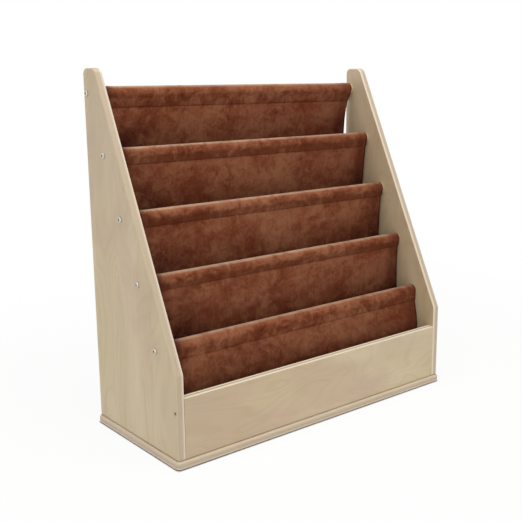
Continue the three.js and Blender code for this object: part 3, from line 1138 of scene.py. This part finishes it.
def ridge(distance, seed):
    # 0 in the troughs and 1 on the crests of uneven puckers, a distance along a row of stitches
    ownSeed, layer = puckers["strengthSeeds"]
    wander = noise.noise(Vector((distance / puckers["wanderLength"], seed, 0.0)))
    change = noise.noise(Vector((distance / puckers["strengthLength"], seed + ownSeed, layer)))
    strength = puckers["strength"] + puckers["strengthChange"] * change
    wave = math.sin(2 * math.pi * (distance / puckers["pitch"] + puckers["wander"] * wander))
    return max(0.0, strength) * (0.5 + 0.5 * wave)


def clothPoint(row, fromLeft):
    # a point of the cloth's middle layer, a distance from its left edge
    rightX = innerHalfWidth - row.play * clothShape["play"]
    x = rightX - clothWidth + fromLeft
    y, z = row.place
    fromEdge = min(fromLeft, clothWidth - fromLeft)
    if row.sway:
        drift = wallDrift(row.wall, x, row.depth)
        if hasattr(row, "turn"):
            drift = blended(drift, wallDrift(row.wall + 1, x, row.nextDepth), row.turn)
            z += waves["bottomShare"] * drift * math.sin(math.pi * row.turn)
        ripple = math.sin(2 * math.pi * clothShape["rippleWaves"] * fromLeft / clothWidth)
        y += row.sway * (clothShape["rippleHeight"] * ripple + drift)
        y -= row.sway * waves["edgeCurl"] * math.exp(-fromEdge / waves["edgeCurlWidth"])
    rise = 1 - math.exp(-row.fromSeam / seamShape["near"])
    fall = math.exp(-row.fromSeam / seamShape["far"])
    swell = seamShape["wallSwell" if row.rub is None else "tunnelSwell"]
    pucker = ridge(x, row.wall * puckers["wallSeed"]) - puckers["level"]
    puff = rise * fall * (swell + puckers["height"] * pucker)
    offHem = abs(fromEdge - clothShape["hemStitchInset"])
    hemFall = math.exp(-offHem / seamShape["hemFar"]) * (1 - math.exp(-offHem / seamShape["near"]))
    puff += seamShape["hemHeight"] * hemFall * (seamShape["hemLevel"] + ridge(row.along, puckers["hemSeed"]))
    return Vector((x, y + row.normal.x * row.puff * puff, z + row.normal.y * row.puff * puff))


def clothColumns():
    # distances from the left edge: close over the hems, and even between them
    edge = list(clothShape["edgeColumns"])
    inner = clothWidth - 2 * edge[-1]
    count = round(inner / clothShape["columnPitch"])
    middle = [edge[-1] + inner * step / count for step in range(1, count)]
    return [*edge, *middle, *[clothWidth - distance for distance in reversed(edge)]]


def clothSheet(name, rows, startAlong):
    columns = clothColumns()
    deselectAll()
    bpy.ops.mesh.primitive_grid_add(
        x_subdivisions=len(columns) - 1, y_subdivisions=len(rows) - 1, size=1, calc_uvs=True,
    )
    sheet = named(name)
    mesh = sheet.data
    byPlace = sorted(mesh.vertices, key=lambda corner: (round(corner.co.y, 6), round(corner.co.x, 6)))
    for mark in clothMarks:
        mesh.attributes.new(mark, "FLOAT", "POINT")
    rub, shade, tunnelShade, shady = (mesh.attributes[mark].data for mark in clothMarks)
    places = {}  # each corner's distance across and along the uncut cloth
    hem = sheet.vertex_groups.new(name="hem")
    hemCorners = []
    for number, corner in enumerate(byPlace):
        row = rows[number // len(columns)]
        fromLeft = columns[number % len(columns)]
        fromEdge = min(fromLeft, clothWidth - fromLeft)
        corner.co = clothPoint(row, fromLeft)
        places[corner.index] = (fromLeft, startAlong + row.along)
        if fromEdge <= clothShape["hemWidth"] + picking["touch"]:
            hemCorners.append(corner.index)
        wall = row.wall
        if row.rub is None:
            # painted shade on the walls: more deeper under the seam, and on some walls less near the side
            # edges
            reach = eased(row.depth / seamShape["shadyDrops"][wall])
            inward = eased(fromEdge / seamShape["shadyEdgeWidth"])
            atEdge = blended(seamShape["shadyEdges"][wall], 1.0, inward)
            deepShade = blended(seamShape["shadyTops"][wall], seamShape["shadyFeet"][wall], reach)
            shady[corner.index].value = atEdge * deepShade
        else:
            # painted shade on the lower part of the tunnel, down from its dowel's axis
            under = (dowelAxes[wall].z - row.place.y) / tunnelRadius
            drawn = sum(
                share * eased((under - start) / length) for share, start, length in seamShape["bandParts"]
            )
            tunnelShade[corner.index].value = seamShape["bandShares"][wall] * drawn
            rub[corner.index].value = row.rub * seamShape["rubHighlightShares"][wall]
        offHem = abs(fromEdge - clothShape["hemStitchInset"])
        shade[corner.index].value = max(
            seamShape["lineShares"][wall] * math.exp(-row.fromSeam / seamShape["shadeWidth"]),
            seamShape["hemShare"] * math.exp(-offHem / seamShape["shadeWidth"]),
        )
    hem.add(hemCorners, 1.0, "REPLACE")
    cut = mesh.uv_layers[0]
    cut.name = "cut"
    for loop in mesh.loops:
        cut.data[loop.index].uv = places[loop.vertex_index]
    mesh.update()
    applyModifier(
        sheet, "SOLIDIFY", thickness=clothShape["hemThickness"], offset=0.0, vertex_group="hem",
        thickness_vertex_group=clothShape["singleShare"], use_rim=True, use_even_offset=True,
    )
    selectOnly(sheet)
    bpy.ops.object.shade_smooth_by_angle(angle=math.radians(clothShape["smoothAngle"]))
    return sheet


suede = {
    # the painted shade deep in the pockets and beside the side panels
    "hollow": fromScreen(52, 14, 4),
    "deep": fromScreen(86, 32, 12),
    # the painted shade on the tunnels' undersides
    "tunnelShade": fromScreen(86, 36, 13),
    "dark": fromScreen(125, 64, 38),
    "plain": fromScreen(148, 92, 64),
    "light": fromScreen(157, 107, 77),
    "red": fromScreen(124, 54, 30),
    # worn, and a painted highlight over the dowels
    "rubHighlight": fromScreen(218, 198, 168),
    "roughness": 0.7,
    "napRoughness": 0.12,
    "wornSmoothness": 0.1,
    "specular": 0.12,
    "sheen": 0.1,
    "sheenRoughness": 0.35,
    "sheenTint": fromScreen(240, 196, 170),
    "relief": 0.0004,  # in metres, and each pattern's share in it
    "napRelief": 0.4,
    "dragRelief": 0.5,
    "grainRelief": 0.6,
    "patterns": {
        "clouds": ((8.5, 11.0, 0.0), 0.0, 3.0, 0.5, 0.4),
        "mottle": ((40.0, 46.0, 0.0), 3.0, 4.0, 0.6, 0.8),
        "grain": ((190.0, 150.0, 0.0), 4.0, 4.0, 0.65),
        "drag": ((260.0, 26.0, 0.0), 5.0, 3.0, 0.6),
        "nap": ((1500.0, 900.0, 0.0), 7.0, 2.0, 0.6),
        "reddish": ((11.0, 16.0, 0.0), 9.0, 3.0, 0.5, 0.6),
        "scuffs": ((95.0, 110.0, 0.0), 11.0, 2.0, 0.5, 2.2),
    },
    # how much the first five patterns weigh in the tone, and where its four colours lie
    "toneShares": (0.3, 0.29, 0.18, 0.11, 0.12),
    "toneStops": (0.0, 0.3, 0.66, 1.0),
    # the painted shade on the tunnels' undersides, and how the clouds and mottle break it up
    "drawnWeight": 0.9,  # how much the drawn-in band weighs against the clouds and mottle
    "drawnMottle": 2.0,
    "drawnLevel": 1.5,
    "hemLine": 0.0006,  # how far past the hem its colour fades out
    # between which two values each thing fades in
    "fades": {
        "tone": (0.334, 0.65),
        "reddish": (0.46, 0.7),
        "scuff": (0.035, 0.0),
        "farSide": (0.45, 0.7),
        "rubHighlight": (0.6, 1.0),
        "rubbedMottle": (0.05, 0.6),
        "drawn": (-0.15, 1.15),
        "drawnStart": (0.0, 0.3),
        "hem": (0.0, 0.0012),
        # where the painted shade in the pockets fades in: by corner, facing, clouds and beside the side
        # panels
        "leftCorner": (0.17, 0.02),
        "rightCorner": (0.12, 0.02),
        "frontward": (0.1, -0.4),
        "hollowClouds": (1.3, 0.8),
        "besideWide": (0.05, 0.022),
        "besideEdge": (0.006, 0.002),
        "besideLeft": (0.024, 0.014),
    },
    # how much of each colour is laid over those before it
    "redShare": 0.4,
    "scuffShare": 0.2,
    "farShare": 0.2,
    "rubbedShare": 0.51,
    # the painted highlight over the dowels fades towards the right
    "rubbedLoss": 0.2,  # for each metre from the left edge
    "drawnShare": 0.75,
    "hemShare": 0.15,
    # how much painted shade lies in the pockets' corners and middles, and beside the side panels
    "leftCornerShare": 0.45,
    "rightCornerShare": 0.2,
    "middleShare": 0.32,
    "hollowCloudShares": (0.5, 0.7),  # the part of a hollow that the clouds change, and the part they leave
    "besideShares": (0.3, 0.4, 0.5),
    "mostHollow": 0.9,
    "stitchShare": 0.8,
}


def suedeCloth(name):
    finish = Finish(name)
    fades = suede["fades"]
    cut = finish.node("ShaderNodeUVMap", {"uv_map": "cut"})
    split = finish.node("ShaderNodeSeparateXYZ", None, {"Vector": cut})
    across, along = split.out("X"), split.out("Y")
    fromRight = clothWidth - across
    fromEdge = finish.sum("MINIMUM", across, fromRight)
    clouds, mottle, grain, drag, nap, reddish, scuffs = finish.patterns(
        suede["patterns"], (across, along, 0.0),
    )
    rub, shade, tunnelShade, shady = (finish.mark(mark) for mark in clothMarks)

    # the mottled suede, redder in some places and darker towards the right
    tone = clouds * suede["toneShares"][0]
    for pattern, share in zip((mottle, grain, drag, nap), suede["toneShares"][1:]):
        tone = tone + pattern * share
    tints = [suede[tint] for tint in ("deep", "dark", "plain", "light")]
    colour = finish.ramp(finish.between(tone, *fades["tone"]), list(zip(suede["toneStops"], tints)))
    offTunnel = 1.0 - finish.sum("MINIMUM", rub + tunnelShade, 1.0)
    red = finish.between(reddish, *fades["reddish"]) * offTunnel
    colour = finish.mix(colour, suede["red"], red * suede["redShare"])
    scuff = finish.between(abs(scuffs - 0.5), *fades["scuff"])
    colour = finish.mix(colour, suede["light"], scuff * suede["scuffShare"])
    colour = finish.mix(colour, suede["deep"], finish.between(across, *fades["farSide"]) * suede["farShare"])

    # lighter over the dowels, partly worn and partly a painted highlight, painted shade on the tunnels'
    # undersides, and darker along the hems
    wearAndHighlight = finish.between(rub, *fades["rubHighlight"]) * finish.between(mottle, *fades["rubbedMottle"])
    rubHighlight = wearAndHighlight * (suede["rubbedShare"] - across * suede["rubbedLoss"])
    colour = finish.mix(colour, suede["rubHighlight"], rubHighlight)
    # painted shade on the tunnels' undersides
    drawn = tunnelShade * suede["drawnWeight"] - (clouds + mottle * suede["drawnMottle"]) + suede["drawnLevel"]
    drawn = finish.between(drawn, *fades["drawn"]) * finish.between(tunnelShade, *fades["drawnStart"])
    colour = finish.mix(colour, suede["tunnelShade"], drawn * suede["drawnShare"])
    hem = finish.between(clothShape["hemWidth"] + suede["hemLine"] - fromEdge, *fades["hem"])
    colour = finish.mix(colour, suede["red"], hem * suede["hemShare"])

    # painted shade deep in the pockets, most of all in their corners and beside the side panels
    facing = finish.coordinates("Normal")
    leftCorner = finish.between(across, *fades["leftCorner"]) * suede["leftCornerShare"]
    rightCorner = finish.between(fromRight, *fades["rightCorner"]) * suede["rightCornerShare"]
    pocketShade = shady * finish.between(facing.out("Y"), *fades["frontward"])
    pocketShade = pocketShade * (leftCorner + rightCorner + suede["middleShare"])
    cloudy, plain = suede["hollowCloudShares"]
    pocketShade = pocketShade * (finish.between(clouds + mottle, *fades["hollowClouds"]) * cloudy + plain)
    wide, edge, left = suede["besideShares"]
    beside = finish.between(fromEdge, *fades["besideWide"]) * wide
    beside = beside + finish.between(fromEdge, *fades["besideEdge"]) * edge
    beside = beside + finish.between(across, *fades["besideLeft"]) * left
    hollow = finish.sum("MINIMUM", pocketShade + beside, suede["mostHollow"])
    colour = finish.mix(colour, suede["hollow"], hollow)
    colour = finish.mix(colour, suede["deep"], shade * suede["stitchShare"])
    relief = nap * suede["napRelief"] + drag * suede["dragRelief"] + grain * suede["grainRelief"] + mottle
    return finish.surface({
        "Base Color": colour,
        "Roughness": suede["roughness"] + nap * suede["napRoughness"] - wearAndHighlight * suede["wornSmoothness"],
        "Specular IOR Level": suede["specular"],
        "Sheen Weight": suede["sheen"],
        "Sheen Roughness": suede["sheenRoughness"],
        "Sheen Tint": suede["sheenTint"],
        "Normal": finish.bump(relief, suede["relief"]),
    })


# Stitches

stitchShape = {
    "pitch": 0.0032,
    "lengthShare": 0.8,
    "radius": 0.00032,
    "sinkShare": 0.35,
    "sides": 6,
    "rings": 4,
    "tilt": 0.12,
    "endGap": 0.002,  # from a seam's ends to its first and last stitch
}
thread = {
    "colour": fromScreen(62, 30, 22),
    "light": fromScreen(104, 60, 44),
    "fineness": 2500.0,
    "detail": 2.0,
    "lightFade": (0.35, 0.7),
    "roughness": 0.7,
    "relief": 0.0001,
}


def sewingThread(name):
    finish = Finish(name)
    fine = finish.speckle(thread["fineness"], thread["detail"])
    light = finish.between(fine, *thread["lightFade"])
    return finish.surface({
        "Base Color": finish.mix(thread["colour"], thread["light"], light),
        "Roughness": thread["roughness"],
        "Normal": finish.bump(fine, thread["relief"]),
    })


def stitchModel():
    deselectAll()
    bpy.ops.mesh.primitive_uv_sphere_add(
        segments=stitchShape["sides"], ring_count=stitchShape["rings"], radius=1,
        rotation=(0, math.pi / 2, 0),
    )
    model = bpy.context.active_object
    half = stitchShape["pitch"] * stitchShape["lengthShare"] / 2
    model.scale = (stitchShape["radius"], stitchShape["radius"], half)
    return named("stitchModel")


def repeated(name, model, placements):
    # the model's mesh at every placement, all in one mesh
    corners = [corner.co.copy() for corner in model.data.vertices]
    faces = [tuple(face.vertices) for face in model.data.polygons]
    allCorners, allFaces = [], []
    for placement in placements:
        start = len(allCorners)
        allCorners += [placement @ corner for corner in corners]
        allFaces += [tuple(start + number for number in face) for face in faces]
    mesh = bpy.data.meshes.new(name)
    mesh.from_pydata(allCorners, [], allFaces)
    for face in mesh.polygons:
        face.use_smooth = True
    piece = bpy.data.objects.new(name, mesh)
    bpy.context.scene.collection.objects.link(piece)
    return piece


def placed(middle, direction, outward):
    # a stitch at middle, its length along direction, its top towards outward
    first = direction.normalized()
    third = (outward - first * outward.dot(first)).normalized()
    second = third.cross(first)
    turn = Matrix((first, second, third)).transposed().to_4x4()
    return Matrix.Translation(middle) @ turn


def stitchAt(first, second, outward, lift):
    tilt = outward.cross(second - first).normalized() * stitchShape["tilt"] * stitchShape["radius"]
    middle = (first + second) / 2 + outward * lift + tilt
    return placed(middle, second - first, outward)


def rowAt(rows, along):
    # a row between two rows, at a distance along the cloth
    number = next((n for n, row in enumerate(rows) if row.along >= along), len(rows) - 1)
    before, after = rows[max(number - 1, 0)], rows[number]
    share = (along - before.along) / max(after.along - before.along, picking["least"])
    row = SimpleNamespace(**vars(before if share < 0.5 else after))
    row.place = before.place.lerp(after.place, share)
    row.normal = before.normal.lerp(after.normal, share).normalized()
    for name in ("play", "sway", "depth", "along", "fromSeam"):
        setattr(row, name, blended(getattr(before, name), getattr(after, name), share))
    if hasattr(before, "turn") and hasattr(after, "turn"):
        row.turn = blended(before.turn, after.turn, share)
    return row


def stitchStops(length):
    # where the stitches of a seam of that length start and end
    gap, pitch = stitchShape["endGap"], stitchShape["pitch"]
    count = int((length - 2 * gap) / pitch)
    return [gap + pitch * step for step in range(count + 1)]


def seamStitches(row, side):
    # along the seam, on the cloth's face that looks to side: 1 where its inner face shows, -1 its outer
    outward = Vector((0, row.normal.x, row.normal.y)) * side
    lift = clothShape["hemThickness"] * clothShape["singleShare"] / 2
    lift -= stitchShape["radius"] * stitchShape["sinkShare"]
    points = [clothPoint(row, distance) for distance in stitchStops(clothWidth)]
    return [stitchAt(first, second, outward, lift) for first, second in zip(points, points[1:])]


def hemStitches(rows, side):
    # down both side hems, from the first row to the last
    found = []
    lift = clothShape["hemThickness"] / 2 - stitchShape["radius"] * stitchShape["sinkShare"]
    stops = [rowAt(rows, distance) for distance in stitchStops(rows[-1].along)]
    for fromLeft in (clothShape["hemStitchInset"], clothWidth - clothShape["hemStitchInset"]):
        points = [clothPoint(row, fromLeft) for row in stops]
        for row, first, second in zip(stops, points, points[1:]):
            outward = Vector((0, row.normal.x, row.normal.y)) * side
            found.append(stitchAt(first, second, outward, lift))
    return found


def makeCloth():
    cloth = suedeCloth("brownSuede")
    sewing = sewingThread("brownThread")
    model = stitchModel()
    startAlong = 0.0
    for index in range(len(dowelAxes) - 1):
        rows, seams = slingRows(index)
        sheet = clothSheet(f"suede_sling_{index + 1}", rows, startAlong)
        settle(sheet, cloth, "sling_cloth", f"sling_{index + 1}")
        stitches = [*seamStitches(rows[seams[0]], 1), *seamStitches(rows[seams[1]], 1)]
        if len(seams) > 3:
            stitches += [*seamStitches(rows[seams[2]], -1), *seamStitches(rows[seams[3]], -1)]
        stitches += [*hemStitches(rows, 1), *hemStitches(rows, -1)]
        seam = repeated(f"stitches_{index + 1}", model, stitches)
        seam.data.materials.append(sewing)
        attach(seam, "root")
        length = rows[-1].along
        print(f"sling {index + 1}: {clothWidth:.3f} by {length:.3f} m of cloth, {len(stitches)} stitches")
        startAlong += length
    bpy.data.objects.remove(model)


makeCloth()


# Studio: a white floor and backdrop, with soft light from above, the front and the left

studio = {
    "floorSize": 12.0,
    "floorDrop": 0.0003,
    "floorColour": (0.84, 0.84, 0.84, 1.0),
    "white": (1.0, 1.0, 1.0, 1.0),
    "contactShare": 0.0,  # how white the floor looks under the base's edge, near it and far from it
    "nearShare": 0.9,
    "contactReach": (-0.001, 0.002),  # where it turns from the first to the second, out from the base
    "farReach": (0.3, 1.3),  # and from the second to white
    "skyStrength": 0.43,
    "skyColour": (1.0, 0.99, 0.975, 1.0),
    "lamps": (
        # name, place, aim, size, power, colour
        ("topLamp", (-0.2, -0.3, 2.6), (0.0, 0.0, 0.4), 2.0, 36.0, (1.0, 0.99, 0.97)),
        ("frontLamp", (-0.3, -3.0, 0.9), (0.0, 0.0, 0.35), 1.0, 16.0, (1.0, 0.985, 0.96)),
        ("sideLamp", (-2.8, 0.4, 0.35), (0.0, 0.0, 0.25), 1.2, 11.6, (1.0, 0.99, 0.97)),
    ),
}


def seenDirectly(finish):
    # 1 where the camera looks straight at something, by way of a mirror or through glass too
    rays = finish.node("ShaderNodeLightPath", output="Is Camera Ray")
    direct = finish.sum("MAXIMUM", rays, rays.out("Is Glossy Ray"))
    return finish.sum("MAXIMUM", direct, rays.out("Is Transmission Ray"))


def addFloor():
    deselectAll()
    size = studio["floorSize"]
    bpy.ops.mesh.primitive_plane_add(size=size, location=(0, 0, -studio["floorDrop"]))
    floor = named("studioFloor")
    finish = Finish("whiteFloor")
    seen = seenDirectly(finish)
    split = finish.coordinates()
    low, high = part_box("base_board")
    away = finish.sum("MAXIMUM", abs(split.out("X")) - high.x, abs(split.out("Y")) - high.y)
    nearby = finish.between(away, *studio["contactReach"]) * (studio["nearShare"] - studio["contactShare"])
    faraway = finish.between(away, *studio["farReach"]) * (1.0 - studio["nearShare"])
    share = nearby + faraway + studio["contactShare"]
    lit = finish.mix(studio["floorColour"], studio["white"], seen)
    plain = finish.node("ShaderNodeBsdfDiffuse", None, {"Color": lit})
    white = finish.node("ShaderNodeEmission", None, {"Color": studio["white"], "Strength": 1.0})
    shader = finish.node("ShaderNodeMixShader", None, {0: seen * share, 1: plain, 2: white})
    floor.data.materials.append(finish.close(shader))


def addSky():
    world = bpy.data.worlds.new("studioSky")
    bpy.context.scene.world = world
    sky = Finish("studioSky", world)
    seen = seenDirectly(sky)
    softLight = {"Color": studio["skyColour"], "Strength": studio["skyStrength"]}
    soft = sky.node("ShaderNodeBackground", None, softLight)
    white = sky.node("ShaderNodeBackground", None, {"Color": studio["white"], "Strength": 1.0})
    sky.close(sky.node("ShaderNodeMixShader", None, {0: seen, 1: soft, 2: white}), "ShaderNodeOutputWorld")


def addLamps():
    for name, place, aim, size, power, colour in studio["lamps"]:
        deselectAll()
        bpy.ops.object.light_add(type="AREA", location=place)
        lamp = bpy.context.active_object
        lamp.name = name
        lamp.rotation_mode = "QUATERNION"
        lamp.rotation_quaternion = (Vector(aim) - Vector(place)).to_track_quat("-Z", "Y")
        lamp.data.shape = "SQUARE"
        lamp.data.size = size
        lamp.data.energy = power
        lamp.data.color = colour


addFloor()
addSky()
addLamps()
bpy.context.scene.view_settings.view_transform = "Standard"
print("studio ready")
